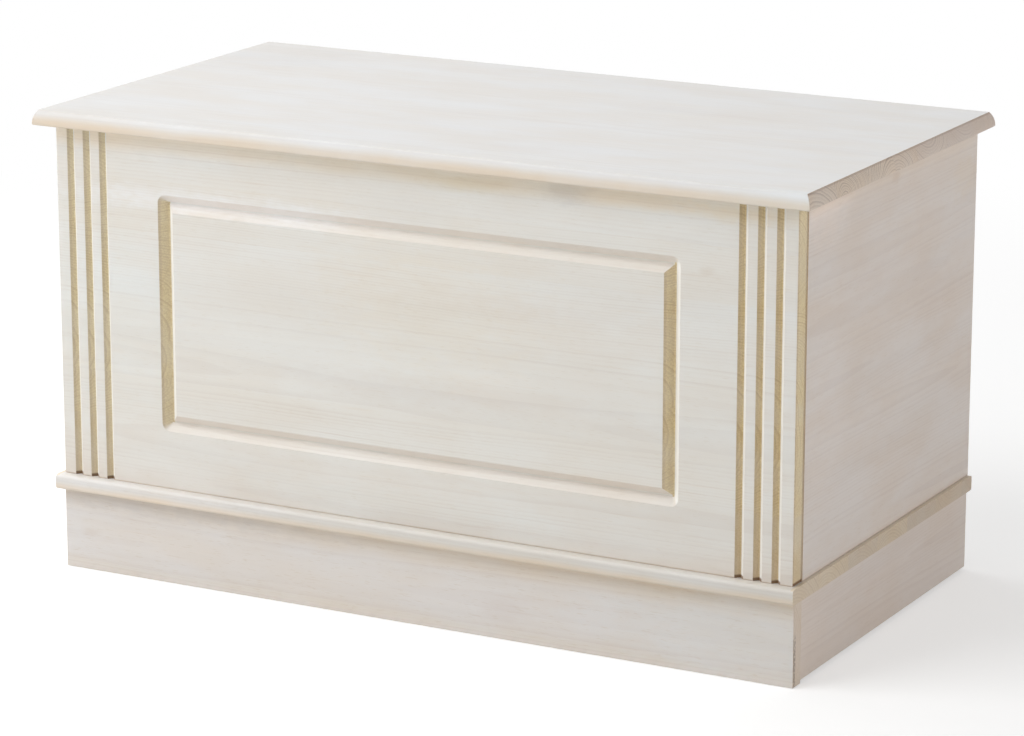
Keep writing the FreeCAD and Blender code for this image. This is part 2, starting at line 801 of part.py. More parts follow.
def block_screw_places():
    """Screws that go out through each corner block into the two plinth boards beside it."""
    rows = []
    height = plinth_height - plinth_lift
    half = block_width / 2
    for name, x, y, sign, outward in corner_places():
        board_thick = plinth_front_thick if outward < 0 else plinth_back_thick
        for share in block_screw_x_shares:
            place = V(x - sign * half, y, plinth_lift + share * height)
            rows.append((place, RIGHT * sign, block_width + plinth_side_thick - screw_cover))
        for share in block_screw_y_shares:
            place = V(x, y - outward * half, plinth_lift + share * height)
            rows.append((place, BACK * outward, block_width + board_thick - screw_cover))
    return rows


def batten_screw_places():
    rows = []
    front = inner_front_y + batten_front_gap
    rear = inner_back_y - batten_back_gap
    length = batten_thick + lid_thick - screw_cover
    for share in batten_screw_shares:
        y = (front + rear) / 2 + share * (rear - front) / 2
        for name, sign in SIDES:
            x = sign * (body_half - batten_end_distance)
            rows.append((V(x, y, lid_low_z - batten_thick), UP, length))
    return rows


def hinge_wall_screw_places():
    rows = []
    length = hinge_leaf_thick + back_thick - screw_cover
    for x in (-hinge_x, hinge_x):
        for along, reach in hinge_screw_places(x, hinge_screw_inset):
            rows.append((V(along, body_back_y + hinge_leaf_thick, hinge_z - reach), FRONT, length))
    return rows


def hinge_lid_screw_places():
    rows = []
    length = hinge_leaf_thick + lid_thick - screw_cover
    for x in (-hinge_x, hinge_x):
        for along, reach in hinge_screw_places(x, hinge_screw_inset):
            rows.append((V(along, hinge_y - reach, lid_low_z - hinge_leaf_thick), UP, length))
    return rows


def stay_wall_screw_places():
    rows = []
    length = arm_thick + side_thick - screw_cover
    for name, sign in SIDES:
        for y, z in wall_screw_places():
            rows.append((V(sign * plate_x, y, z), RIGHT * sign, length))
    return rows


def stay_lid_screw_places():
    rows = []
    length = arm_thick + lid_thick - screw_cover
    for name, sign in SIDES:
        for x, y in lid_screw_places():
            rows.append((V(sign * x, y, lid_low_z - arm_thick), UP, length))
    return rows


def screw_groups():
    """Each group of like screws, as its shank and head radius and its places."""
    board_screw = (board_screw_radius, board_screw_head)
    batten_screw = (batten_screw_radius, batten_screw_head)
    hinge_screw = (hinge_screw_radius, hinge_screw_head)
    stay_screw = (stay_screw_radius, stay_screw_head)
    return {
        "base_screws": (board_screw, base_screw_places()),
        "floor_screws": (board_screw, floor_screw_places()),
        "block_screws": (board_screw, block_screw_places()),
        "batten_screws": (batten_screw, batten_screw_places()),
        "hinge_wall_screws": (hinge_screw, hinge_wall_screw_places()),
        "hinge_lid_screws": (hinge_screw, hinge_lid_screw_places()),
        "stay_wall_screws": (stay_screw, stay_wall_screw_places()),
        "stay_lid_screws": (stay_screw, stay_lid_screw_places()),
    }


def all_bores():
    """The holes of every fastener, which each board is drilled with where they reach it."""
    bores = [dowel_bore(*place) for place in dowel_places()]
    for bolt, housing in cam_places():
        bores += [cam_bolt_bore(*bolt), cam_pocket(*housing)]
    for kind, places in screw_groups().values():
        bores += [screw_bore(kind, *place) for place in places]
    return bores


def bored_pieces():
    """Boards and plates that fasteners pass through or into."""
    pieces = {
        "front_panel": front_panel(),
        "back_panel": back_panel(),
        "base_board": base_board(),
        "plinth_front": plinth_front(),
        "plinth_back": plinth_back(),
        "lid_panel": lid_panel(),
    }
    for name, sign in SIDES:
        pieces[name + "_side_panel"] = side_panel(sign)
        pieces["plinth_" + name] = plinth_side(sign)
        pieces["lid_batten_" + name] = batten(sign)
        pieces["hinge_wall_leaf_" + name] = body_leaf(sign * hinge_x)
        pieces["hinge_lid_leaf_" + name] = lid_leaf(sign * hinge_x)
        pieces["stay_wall_bracket_" + name] = wall_bracket(sign)
        pieces["stay_lid_bracket_" + name] = lid_bracket(sign)
    for name, x, y, sign, outward in corner_places():
        pieces["corner_block_" + name] = corner_block(x, y)
    return pieces


def loose_pieces():
    """Pieces that no fastener goes through."""
    pieces = {}
    for name, sign in SIDES:
        pieces["hinge_pin_" + name] = hinge_pin(sign * hinge_x)
        pieces["stay_lower_arm_" + name] = lower_arm(sign)
        pieces["stay_upper_arm_" + name] = upper_arm(sign)
        pieces["stay_wall_pivot_" + name] = wall_pivot(sign)
        pieces["stay_elbow_rivet_" + name] = elbow_rivet(sign)
        pieces["stay_lid_pivot_" + name] = lid_pivot(sign)
        pieces["stay_stop_pin_" + name] = stop_pin(sign)
    return pieces


def fastener_groups():
    """Like fasteners together, each a solid of its own."""
    groups = {}
    groups["dowels"] = [dowel(*place) for place in dowel_places()]
    groups["cam_bolts"] = [cam_bolt(*bolt) for bolt, housing in cam_places()]
    groups["cam_housings"] = [cam_housing(*housing, *bolt[:2]) for bolt, housing in cam_places()]
    for name, (kind, places) in screw_groups().items():
        groups[name] = [screw(kind, *place) for place in places]
    return groups


def write_part(name, shape):
    """One file per node, which holds that node's solids and nothing else."""
    Part.Compound(shape.Solids).exportStep("parts/" + name + ".step")


os.makedirs("parts", exist_ok=True)
bores = all_bores()
for name, board in bored_pieces().items():
    write_part(name, drilled(board, bores))
for name, piece in loose_pieces().items():
    write_part(name, piece)
for name, solids in fastener_groups().items():
    write_part(name, Part.Compound(solids))
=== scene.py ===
import math

import bpy
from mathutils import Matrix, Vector


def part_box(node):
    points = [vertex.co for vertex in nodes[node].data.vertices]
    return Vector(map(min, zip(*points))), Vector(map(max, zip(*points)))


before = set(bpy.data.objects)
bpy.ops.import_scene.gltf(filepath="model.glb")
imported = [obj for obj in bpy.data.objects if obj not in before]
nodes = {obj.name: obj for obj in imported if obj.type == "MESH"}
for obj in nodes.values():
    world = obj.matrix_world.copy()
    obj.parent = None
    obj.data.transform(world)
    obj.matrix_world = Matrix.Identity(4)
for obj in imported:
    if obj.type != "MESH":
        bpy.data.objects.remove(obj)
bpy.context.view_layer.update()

AXIS = {"X": 0, "Y": 1, "Z": 2}
WHITE = (1.0, 1.0, 1.0, 1.0)
# Sockets of the colour mix node.
MIX_SHARE, MIX_A, MIX_B, MIX_RESULT = 0, 6, 7, 2
EDGE_SAMPLES = 4
# Middle of a noise's or a chance's values.
MIDDLE = 0.5
# Curve from display values to linear ones.
BYTE_MOST = 255
CURVE_KNEE, CURVE_SLOPE, CURVE_OFFSET, CURVE_POWER = 0.04045, 12.92, 0.055, 2.4


class Net:
    """Adds the nodes of one material or world and links them."""

    def __init__(self, tree):
        self.tree = tree
        tree.nodes.clear()

    def feed(self, socket, value):
        if isinstance(value, bpy.types.NodeSocket):
            self.tree.links.new(value, socket)
        else:
            socket.default_value = value

    def add(self, kind, values=None, **settings):
        node = self.tree.nodes.new("ShaderNode" + kind)
        for key, value in settings.items():
            setattr(node, key, value)
        for key, value in (values or {}).items():
            self.feed(node.inputs[key], value)
        return node

    def math(self, operation, *values, clamp=False):
        node = self.add("Math", dict(enumerate(values)), operation=operation, use_clamp=clamp)
        return node.outputs[0]

    def product(self, *values):
        """Product of two or more values."""
        result = values[0]
        for value in values[1:]:
            result = self.math("MULTIPLY", result, value)
        return result

    def length(self, a, b):
        """Length of the hypotenuse over two sides."""
        return self.math("SQRT", self.math("ADD", self.product(a, a), self.product(b, b)))

    def scaled(self, vector, scale):
        node = self.add("VectorMath", {0: vector, 1: scale}, operation="MULTIPLY")
        return node.outputs[0]

    def noise(self, vector, scale=1.0, detail=2.0, rough=0.5, out="Fac"):
        values = {"Vector": vector, "Scale": scale, "Detail": detail, "Roughness": rough}
        return self.add("TexNoise", values).outputs[out]

    def centred(self, value, size):
        """A value about the middle becomes one about zero that reaches size / 2 each way."""
        return self.product(self.math("SUBTRACT", value, MIDDLE), size)

    def sign(self, value):
        """1 for a value over the middle, and otherwise -1."""
        return self.math("SUBTRACT", self.product(self.math("GREATER_THAN", value, MIDDLE), 2.0), 1.0)

    def ramp(self, value, low, high, out_low=0.0, out_high=1.0):
        values = {"Value": value, "From Min": low, "From Max": high, "To Min": out_low, "To Max": out_high}
        return self.add("MapRange", values, interpolation_type="SMOOTHSTEP").outputs[0]

    def mix(self, share, a, b, blend="MIX"):
        node = self.tree.nodes.new("ShaderNodeMix")
        node.data_type = "RGBA"
        node.blend_type = blend
        for number, value in ((MIX_SHARE, share), (MIX_A, a), (MIX_B, b)):
            self.feed(node.inputs[number], value)
        return node.outputs[MIX_RESULT]

    def tinted(self, share, paint, tint):
        """The paint times one of the tints, by the given share."""
        return self.mix(share, paint, TINTS[tint], "MULTIPLY")

    def edge_share(self, radius, low, high, out_low):
        """Falls from out_low at a sharp edge to 0 on a flat, where the rounded normal is the true one."""
        rounded = self.add("Bevel", {"Radius": radius}, samples=EDGE_SAMPLES).outputs[0]
        true_normal = self.add("NewGeometry").outputs["Normal"]
        same = self.add("VectorMath", {0: rounded, 1: true_normal}, operation="DOT_PRODUCT").outputs["Value"]
        return self.ramp(same, low, high, out_low, 0.0)

    def surface(self, **values):
        """Ends the material in a principled surface. Underscores in a name stand for spaces."""
        inputs = {key.replace("_", " "): value for key, value in values.items()}
        shader = self.add("BsdfPrincipled", inputs)
        self.add("OutputMaterial", {"Surface": shader.outputs[0]})


def colour(red, green, blue):
    """Linear colour with alpha from display values of 0 to 255."""
    linear = []
    for value in (red, green, blue):
        part = value / BYTE_MOST
        curved = ((part + CURVE_OFFSET) / (1 + CURVE_OFFSET)) ** CURVE_POWER
        linear.append(part / CURVE_SLOPE if part <= CURVE_KNEE else curved)
    return linear + [1.0]


def material(name):
    made = bpy.data.materials.new(name)
    made.use_nodes = True
    return made


# Pine. Colours that a glazed face or end grain is multiplied by. The corner, seam, deep and honey tints are
# painted shade; up and down paint light and shade on groove walls; bright is a painted highlight on cut walls
# that face -X and painted light under the lid at the front's left, and tone elsewhere; shade, dusk, warm and
# amber are painted shade in the zones, under the lid, under the base's nose, at the back left of the lid's
# top and at the feet of the flutes, and tone elsewhere.
TINTS = {
    "stave": (0.985, 0.965, 0.935), "grey": (0.94, 0.945, 0.955), "pore": (0.90, 0.86, 0.80),
    "warm": (1.0, 0.955, 0.88), "honey": (1.06, 0.92, 0.745), "light": (1.035, 1.04, 1.05),
    "brown": (0.80, 0.70, 0.60), "dusk": (0.93, 0.90, 0.89), "corner": (1.05, 0.96, 0.83),
    "seam": (0.80, 0.70, 0.60), "amber": (0.88, 0.80, 0.62), "deep": (0.22, 0.12, 0.05),
    "ledge": (1.04, 0.95, 0.82), "strip": (1.22, 1.31, 1.72), "line": (0.66, 0.57, 0.50),
    # up and down: painted shade and painted light on groove walls that face up or down.
    "up": (0.98, 0.965, 0.965), "down": (1.045, 1.0, 0.975), "teeth": (0.36, 0.28, 0.20),
    "cool": (1.0, 1.035, 1.06), "shade": (0.87, 0.875, 0.90), "pale": (1.0, 1.035, 1.10),
    "bright": (1.09, 1.08, 1.08), "gold": (0.96, 0.93, 0.85), "chalk": (1.09, 1.125, 1.20),
    "milk": (0.98, 1.01, 1.09), "same": (1.0, 1.0, 1.0),
}
TINTS = {name: (*tint, 1.0) for name, tint in TINTS.items()}

# Noises: cells per metre along the grain, across it and through the board, then detail and roughness.
NOISES = {
    "wobble": ((45, 110, 110), 3.0, 0.6), "ragged": ((7, 70, 70), 2.0, 0.55),
    "fibre": ((14, 950, 950), 2.0, 0.6), "pores": ((95, 820, 820), 1.0, 0.5),
    "streak": ((16, 380, 380), 1.0, 0.5), "cloud": ((6.5, 17, 17), 3.0, 0.6),
    "shade": ((3.1, 27, 27), 2.0, 0.5), "bare": ((3.6, 9, 9), 2.0, 0.5),
    "teeth": ((0, 360, 700), 1.0, 0.5),
}
# Ramps: where each starts and ends, and the values there if they aren't 0 and 1.
RAMPS = {
    "end_grain": (0.25, 0.8), "spot": (0.1, 1.2), "cloud": (0.3, 0.7),
    "ring_rise": (0.25, 0.86), "ring_fall": (0.92, 1.0, 1.0, 0.0), "ring_strength": (0.25, 0.75, 0.25, 1.0),
    "pores": (0.60, 0.76), "streak": (0.62, 0.80), "bare": (0.35, 0.68, 0.25, 1.0),
    "late_fibre": (0.35, 0.75, 0.0, 0.3), "end_grey": (0.2, 0.8, 0.0, 0.7), "end_grit": (0.38, 0.72),
    "bands": (0.42, 0.72), "not_down": (-0.98, -0.9), "face_up": (0.6, 0.9), "face_front": (-0.85, -0.95),
    "turned": (0.25, 0.6), "slope": (0.3, 0.6), "steep": (0.8, 0.95, 1.0, 0.0),
    "teeth": (0.38, 0.52), "teeth_height": (0.058, 0.046), "fibre": (0.3, 0.7),
}

# Growth rings, in metres: seed steps, how unevenly staves are cut, where each stave's pith lies and wanders,
# and the width of the rings.
SEED_ALONG, SEED_ACROSS, SEED_WANDER = 1.7, 7.31, 3.7
STAVE_UNEVEN = 0.55
PITH_SPREAD, PITH_LEAST, PITH_DEPTH = 0.05, 0.011, 0.05
WANDER_PACE, WANDER_DETAIL, WANDER_ROUGH = 1.35, 1.0, 0.4
WANDER_U_STEP, WANDER_V_STEP = 31.0, 17.0
WANDER_ACROSS, WANDER_THROUGH = 0.026, 0.020
RING_RAGGED, RING_LEAST, RING_SPREAD = 0.0019, 0.0024, 0.0016
RING_STEP, STAVE_STEP = 0.71, 40.0
# Knots, as multiples of their size: how far the rings are pushed aside, over what oval, and the core's oval.
KNOT_PUSH, KNOT_LONG, KNOT_HIGH, KNOT_CORE = 0.9, 4.5, 3.0, 1.5
KNOT_WOBBLE, KNOT_SHOWS = 0.3, 0.35
SPOT_WOBBLE = 1.3
# Glaze: the radius that wears on edges, how far that goes, and how deep it sinks into end grain.
EDGE_RADIUS, EDGE_WEAR = 0.0014, (0.80, 0.985, 1.0)
THIN_LEAST, ZONE_LEAST = 0.4, 0.7
SUNK_LEAST, SUNK_MOST = 0.12, 0.3
TIP_FADE, FLOOR_OUT_FADE, FLOOR_DEEP_FADE = 0.0008, 0.0006, 0.0004
# Relief and gloss.
RELIEF_LATE, RELIEF_FIBRE, RELIEF_PORES, RELIEF_DEPTH = 0.5, 0.5, 0.4, 0.0002
ROUGH_LESS, ROUGH_MORE, ROUGH_END = 0.05, 0.07, 0.16


class Pine(Net):
    """Pine under a thin white glaze, on a board with its own grain, width and thickness directions."""

    def __init__(self, made, grain, across, through, middle, seed, look, stave_width):
        super().__init__(made.node_tree)
        self.look = look
        self.seed = seed
        self.stave_width = stave_width
        spot = self.add("TexCoord").outputs
        self.place = self.add("SeparateXYZ", {0: spot["Object"]}).outputs
        self.facing = self.add("SeparateXYZ", {0: spot["Normal"]}).outputs
        self.along_grain = self.facing[AXIS[grain]]
        self.along_width = self.facing[AXIS[across]]
        self.u = self.place[AXIS[grain]]
        self.v = self.place[AXIS[across]]
        self.w = self.math("SUBTRACT", self.place[AXIS[through]], middle)
        start = self.math("ADD", self.u, seed * SEED_ALONG)
        self.board = self.add("CombineXYZ", {0: start, 1: self.v, 2: self.w}).outputs[0]
        self.wobble = self.centred(self.grain_noise("wobble"), SPOT_WOBBLE)
        self.cloud = self.grain_noise("cloud")
        self.fibre = self.grain_noise("fibre")
        self.pores = self.step(self.grain_noise("pores"), "pores")

    def grain_noise(self, kind):
        stretch, detail, rough = NOISES[kind]
        return self.noise(self.scaled(self.board, stretch), 1.0, detail, rough)

    def step(self, value, kind, *ends):
        return self.ramp(value, *RAMPS[kind], *ends)

    def spot_share(self, at_u, at_v, long, high, wobble, strength):
        """Share of a soft, uneven oval on the board: full in its middle and 0 outside it."""
        du = self.math("DIVIDE", self.math("SUBTRACT", self.u, at_u), long)
        dv = self.math("DIVIDE", self.math("SUBTRACT", self.v, at_v), high)
        return self.step(self.math("ADD", self.length(du, dv), wobble), "spot", strength, 0.0)

    def stave_rings(self):
        """Distance to the pith of each stave that the board is glued up from, and three chances per stave."""
        shift = self.seed * SEED_ACROSS
        across = self.math("ADD", self.v, shift)
        cell = {"W": across, "Scale": 1 / self.stave_width, "Randomness": STAVE_UNEVEN}
        stave = self.add("TexVoronoi", cell, voronoi_dimensions="1D", feature="F1")
        centre = self.math("SUBTRACT", stave.outputs["W"], shift)
        chance = self.add("SeparateColor", {0: stave.outputs["Color"]}).outputs
        side = self.sign(chance[1])
        pith_v = self.math("ADD", centre, self.centred(chance[0], PITH_SPREAD))
        pith_w = self.product(side, self.math("MULTIPLY_ADD", chance[2], PITH_DEPTH, PITH_LEAST))
        along = self.math("MULTIPLY_ADD", self.u, WANDER_PACE, self.product(chance[0], WANDER_U_STEP))
        apart = self.product(chance[1], WANDER_V_STEP)
        place = self.add("CombineXYZ", {0: along, 1: apart, 2: self.seed * SEED_WANDER}).outputs[0]
        wander = self.noise(place, 1.0, WANDER_DETAIL, WANDER_ROUGH, "Color")
        wander = self.add("SeparateColor", {0: wander}).outputs
        dv = self.math("ADD", self.math("SUBTRACT", self.v, pith_v), self.centred(wander[0], WANDER_ACROSS))
        dw = self.math("ADD", self.math("SUBTRACT", self.w, pith_w), self.centred(wander[1], WANDER_THROUGH))
        return self.length(dv, dw), chance

    def grow(self, knots):
        """Growth rings: pale early wood that darkens to a sharp late edge. Knots push the rings aside."""
        reach, self.chance = self.stave_rings()
        self.core = None
        for at_u, at_v, size in knots:
            gentle = self.product(self.wobble, KNOT_WOBBLE)
            push = self.spot_share(at_u, at_v, KNOT_LONG * size, KNOT_HIGH * size, gentle, KNOT_PUSH * size)
            reach = self.math("ADD", reach, push)
            heart = self.spot_share(at_u, at_v, KNOT_CORE * size, size, self.wobble, 1.0)
            self.core = heart if self.core is None else self.math("MAXIMUM", self.core, heart)
        ragged = self.centred(self.grain_noise("ragged"), RING_RAGGED)
        spacing = self.math("MULTIPLY_ADD", self.chance[2], RING_SPREAD, RING_LEAST)
        turn = self.math("DIVIDE", self.math("ADD", reach, ragged), spacing)
        phase = self.math("FRACT", turn)
        late = self.product(self.step(phase, "ring_rise"), self.step(phase, "ring_fall"))
        stave_start = self.product(self.chance[0], STAVE_STEP)
        number = {"W": self.math("MULTIPLY_ADD", self.math("FLOOR", turn), RING_STEP, stave_start),
                  "Scale": 1.0, "Detail": 0.0}
        strength = self.add("TexNoise", number, noise_dimensions="1D").outputs["Fac"]
        self.late = self.product(late, self.step(strength, "ring_strength"))

    def glazed_face(self):
        """Raw wood under the glaze, which rubs thin on late wood, in streaks and on edges."""
        look = self.look
        raw = self.mix(self.late, look["early"], look["late"])
        raw = self.mix(self.step(self.fibre, "late_fibre"), raw, look["late"])
        bare = self.step(self.grain_noise("bare"), "bare")
        streak = self.step(self.grain_noise("streak"), "streak")
        worn = self.edge_share(EDGE_RADIUS, *EDGE_WEAR)
        thin = self.product(self.step(self.cloud, "cloud", THIN_LEAST, 1.0), worn)
        cover = self.math("SUBTRACT", look["cover"], self.product(self.late, bare, look["late_shows"]))
        cover = self.math("SUBTRACT", cover, self.centred(self.cloud, look["uneven"]))
        cover = self.math("SUBTRACT", cover, self.product(thin, look["edge_shows"]))
        cover = self.math("SUBTRACT", cover, self.product(streak, bare, look["streaks"]), clamp=True)
        glaze = self.mix(self.step(self.cloud, "cloud"), look["glaze"], look["glaze_warm"])
        return self.mix(cover, raw, glaze)

    def tone(self, face, marks, zones):
        """Tone of each stave, soft bands, pores and placed marks, some of them painted light and shade, then
        painted shade in zones by height near sheltered corners, and painted light and shade on groove walls
        by the way they face.
        """
        look = self.look
        face = self.tinted(self.product(self.chance[0], look["stave_tone"]), face, "stave")
        face = self.tinted(self.step(self.grain_noise("shade"), "bands", 0.0, look["bands"]), face, "grey")
        face = self.tinted(self.product(self.pores, look["pores"]), face, "pore")
        for at_u, at_v, long, high, tint, most in marks:
            face = self.tinted(self.spot_share(at_u, at_v, long, high, self.wobble, most), face, tint)
        # Painted shade by height near sheltered corners, kept off faces that look down.
        for low, high, tint, most in zones:
            share = self.product(self.ramp(self.place[2], low, high), self.step(self.facing[2], "not_down"))
            share = self.product(share, self.step(self.cloud, "cloud", ZONE_LEAST * most, most))
            face = self.tinted(share, face, tint)
        if self.core is not None:
            face = self.mix(self.product(self.core, KNOT_SHOWS), face, look["knot"])
        # Painted light and shade on groove walls, by whether they face up or down.
        for sign, tint in look["slopes"]:
            slope = self.product(self.along_width, sign)
            face = self.tinted(self.product(self.step(slope, "slope"), self.step(slope, "steep")), face, tint)
        return face

    def end_wood(self):
        """Rings, grit and grey on bare end grain."""
        look = self.look
        wood = self.mix(self.product(self.late, look["end_rings"]), look["end_early"], look["end_late"])
        wood = self.mix(self.step(self.chance[1], "end_grey"), wood, look["end_grey"])
        return self.mix(self.step(self.fibre, "end_grit", 0.0, look["end_grit"]), wood, look["end_late"])

    def ends(self, face, end_raw):
        """The last bit of a board, the bands across its end grain, and the walls of cuts across it, with a
        painted highlight on walls that face -X and painted shade at their feet.
        """
        look = self.look
        if look["tips"]:
            tip_from, ledge_tint, end_tint = look["tips"]
            share = self.ramp(self.math("ABSOLUTE", self.u), tip_from, tip_from + TIP_FADE)
            end_raw = self.tinted(share, end_raw, end_tint)
            ledge = self.product(share, self.step(self.facing[2], "face_up"))
            face = self.tinted(ledge, face, ledge_tint)
        for axis, start, stop, tint, most in look["end_bands"]:
            end_raw = self.tinted(self.ramp(self.place[AXIS[axis]], start, stop, 0.0, most), end_raw, tint)
        if look["teeth"]:
            teeth = self.step(self.grain_noise("teeth"), "teeth")
            low_teeth = self.product(teeth, self.step(self.place[2], "teeth_height"))
            share = self.product(low_teeth, self.ramp(self.place[1], *look["teeth"]))
            end_raw = self.tinted(share, end_raw, "teeth")
        sunk = self.step(self.cloud, "cloud", SUNK_LEAST, SUNK_MOST)
        if look["cut_left"]:
            turned = self.step(self.product(self.along_grain, -1.0), "turned", 0.0, look["cut_left"])
            end_face = self.mix(self.math("MAXIMUM", sunk, turned), end_raw, look["glaze"])
            # Painted highlight: walls facing -X, towards the light from the left, are tinted bright.
            end_face = self.tinted(turned, end_face, "bright")
        else:
            end_face = self.mix(sunk, end_raw, look["glaze"])
        # Painted shade: the walls of cuts turn near black at their feet, over the base board.
        if look["cut_foot"]:
            end_face = self.tinted(self.ramp(self.place[2], *look["cut_foot"]), end_face, "deep")
        end = self.step(self.math("ABSOLUTE", self.along_grain), "end_grain")
        if look["cut_floor"]:
            out_from, deep_from = look["cut_floor"]
            out = self.ramp(self.math("ABSOLUTE", self.u), out_from, out_from + FLOOR_OUT_FADE)
            deep = self.ramp(self.place[1], deep_from, deep_from + FLOOR_DEEP_FADE)
            tip = self.product(out, deep, self.step(self.facing[1], "face_front"))
            end = self.math("MAXIMUM", end, tip)
        return end, self.mix(end, face, end_face)

    def paint(self, knots, marks, zones):
        self.grow(knots)
        face = self.tone(self.glazed_face(), marks, zones)
        end, paint = self.ends(face, self.end_wood())
        fibre_relief = self.product(self.fibre, RELIEF_FIBRE)
        height = self.math("MULTIPLY_ADD", self.late, RELIEF_LATE, fibre_relief)
        height = self.math("SUBTRACT", height, self.product(self.pores, RELIEF_PORES))
        bump = {"Strength": self.look["bump"], "Distance": RELIEF_DEPTH, "Height": height}
        middle = self.look["rough"]
        rough = self.step(self.fibre, "fibre", middle - ROUGH_LESS, middle + ROUGH_MORE)
        rough = self.math("ADD", rough, self.product(end, ROUGH_END), clamp=True)
        self.surface(Base_Color=paint, Roughness=rough, Normal=self.add("Bump", bump).outputs[0])


# Looks of the boards. The shares say how much the glaze covers and how much of each trace shows.
# slopes: side that a slope faces across the board, and its tint: painted shade on walls that face up and
# painted light on walls that face down.
# cut_left: how much glaze lies on the walls of cuts that face -X, and by the same share how much they are
# tinted bright, a painted highlight of the light from the left.
# cut_floor: where the flat tips of upright cuts lie, out from the middle and in from the front.
# cut_foot: heights between which a cut's walls turn dark, and the shares there: painted shade at the feet of
# the flutes over the base board.
# tips: where a board's last bit begins, and the tints of its ledge and its end grain.
# end_bands: axis, start, end, tint and strength of each band on end grain.
# teeth: how far in from the front the saw teeth on end grain reach.
GLAZED = {
    "early": colour(222, 196, 158), "late": colour(178, 140, 98), "knot": colour(196, 174, 150),
    "end_early": colour(224, 201, 160), "end_late": colour(192, 163, 120), "end_grey": colour(201, 184, 166),
    "glaze": colour(237, 237, 234), "glaze_warm": colour(234, 230, 223),
    "cover": 0.93, "late_shows": 0.07, "uneven": 0.07, "edge_shows": 0.25, "streaks": 0.10, "pores": 0.35,
    "stave_tone": 0.5, "bands": 0.35, "bump": 0.16, "rough": 0.42, "end_rings": 0.55, "end_grit": 0.5,
    "slopes": (), "cut_left": 0.0, "cut_floor": None, "cut_foot": None, "tips": None, "end_bands": (),
    "teeth": None,
}
FRONT = dict(
    GLAZED, glaze=colour(240, 240, 236), glaze_warm=colour(238, 235, 228), uneven=0.06,
    end_early=colour(231, 207, 147), end_late=colour(196, 163, 100), end_grey=colour(212, 188, 142),
    end_rings=0.7, end_grit=0.7, slopes=((1.0, "up"), (-1.0, "down")), cut_left=0.96,
    cut_floor=(0.2912, -0.2152), cut_foot=(0.1086, 0.1068, 0.0, 0.9), tips=(0.4258, "same", "strip"),
    end_bands=(
        ("Y", -0.2150, -0.2170, "line", 0.55), ("Y", -0.2010, -0.2000, "line", 1.0),
        # The amber band over the lowest end grain is painted shade towards the feet of the flutes.
        ("X", 0.26, 0.33, "gold", 0.9), ("Z", 0.150, 0.112, "amber", 0.85),
        ("X", -0.28, -0.34, "pale", 0.9), ("X", -0.25, -0.285, "milk", 1.0),
    ),
)
BASE = dict(
    # The base board's ledge tint lifts and warms the ledge beside the side panels: partly its tan colour,
    # partly painted light against its contact shadow.
    GLAZED, glaze=colour(227, 225, 221), glaze_warm=colour(225, 221, 214), tips=(0.4280, "ledge", "same"),
    end_early=colour(228, 205, 171), end_late=colour(196, 167, 131), end_grey=colour(205, 188, 174),
    end_bands=(("Y", 0.08, 0.20, "warm", 1.0), ("Y", -0.08, -0.15, "chalk", 0.6)),
)
TOP = dict(
    GLAZED, glaze=colour(231, 232, 233), glaze_warm=colour(229, 227, 224), cover=0.94, bump=0.1,
    late_shows=0.03, uneven=0.04, streaks=0.05, pores=0.15, stave_tone=0.2, bands=0.2,
    end_early=colour(243, 222, 198), end_late=colour(194, 167, 143), end_grey=colour(221, 204, 194),
    end_rings=1.0, end_grit=0.6,
    end_bands=(
        ("Z", 0.4976, 0.4992, "line", 0.8), ("Y", -0.2320, -0.2345, "line", 0.5),
        ("Y", -0.09, -0.02, "bright", 0.65),
    ),
)
SIDE = dict(
    GLAZED, glaze=colour(239, 231, 226), glaze_warm=colour(235, 222, 212), cover=0.90, late_shows=0.05,
    streaks=0.07, pores=0.4, stave_tone=0.35, bands=0.4,
)
PLINTH = dict(
    GLAZED, glaze=colour(232, 229, 227), glaze_warm=colour(230, 224, 218), pores=0.6, uneven=0.1,
    end_early=colour(232, 212, 190), end_late=colour(212, 188, 162), end_grey=colour(222, 205, 190),
    end_bands=(("Y", -0.2150, -0.2165, "line", 0.7),), teeth=(-0.2105, -0.2122),
)
PLINTH_SIDE = dict(SIDE, glaze=colour(237, 226, 219), glaze_warm=colour(233, 218, 207))
RAW = dict(GLAZED, cover=0.0, uneven=0.0, late_shows=0.0, edge_shows=0.0, streaks=0.0, bands=0.0, rough=0.62)

# Board: grain, width and thickness directions, seed, look and stave width.
BOARDS = {
    "lid_panel": ("X", "Y", "Z", 1.0, TOP, 0.064),
    "front_panel": ("X", "Z", "Y", 2.0, FRONT, 0.054),
    "left_side_panel": ("Y", "Z", "X", 3.0, SIDE, 0.066),
    "right_side_panel": ("Y", "Z", "X", 4.0, SIDE, 0.066),
    "back_panel": ("X", "Z", "Y", 5.0, SIDE, 0.07),
    "base_board": ("X", "Y", "Z", 6.0, BASE, 0.068),
    "plinth_front": ("X", "Z", "Y", 7.0, PLINTH, 0.09),
    "plinth_back": ("X", "Z", "Y", 8.0, PLINTH_SIDE, 0.09),
    "plinth_left": ("Y", "Z", "X", 9.0, PLINTH_SIDE, 0.09),
    "plinth_right": ("Y", "Z", "X", 10.0, PLINTH_SIDE, 0.09),
    "lid_batten_left": ("Y", "X", "Z", 11.0, SIDE, 0.09),
    "lid_batten_right": ("Y", "X", "Z", 12.0, SIDE, 0.09),
    "corner_block_front_left": ("Z", "X", "Y", 13.0, RAW, 0.09),
    "corner_block_front_right": ("Z", "X", "Y", 14.0, RAW, 0.09),
    "corner_block_back_left": ("Z", "X", "Y", 15.0, RAW, 0.09),
    "corner_block_back_right": ("Z", "X", "Y", 16.0, RAW, 0.09),
    "dowels": ("Z", "X", "Y", 17.0, RAW, 0.09),
}
# Knots: place along and across the board, and size.
KNOTS = {
    "left_side_panel": ((0.06, 0.28, 0.006),),
    "back_panel": ((-0.21, 0.3, 0.007), (0.13, 0.19, 0.006)),
    "plinth_back": ((0.19, 0.05, 0.005),),
}
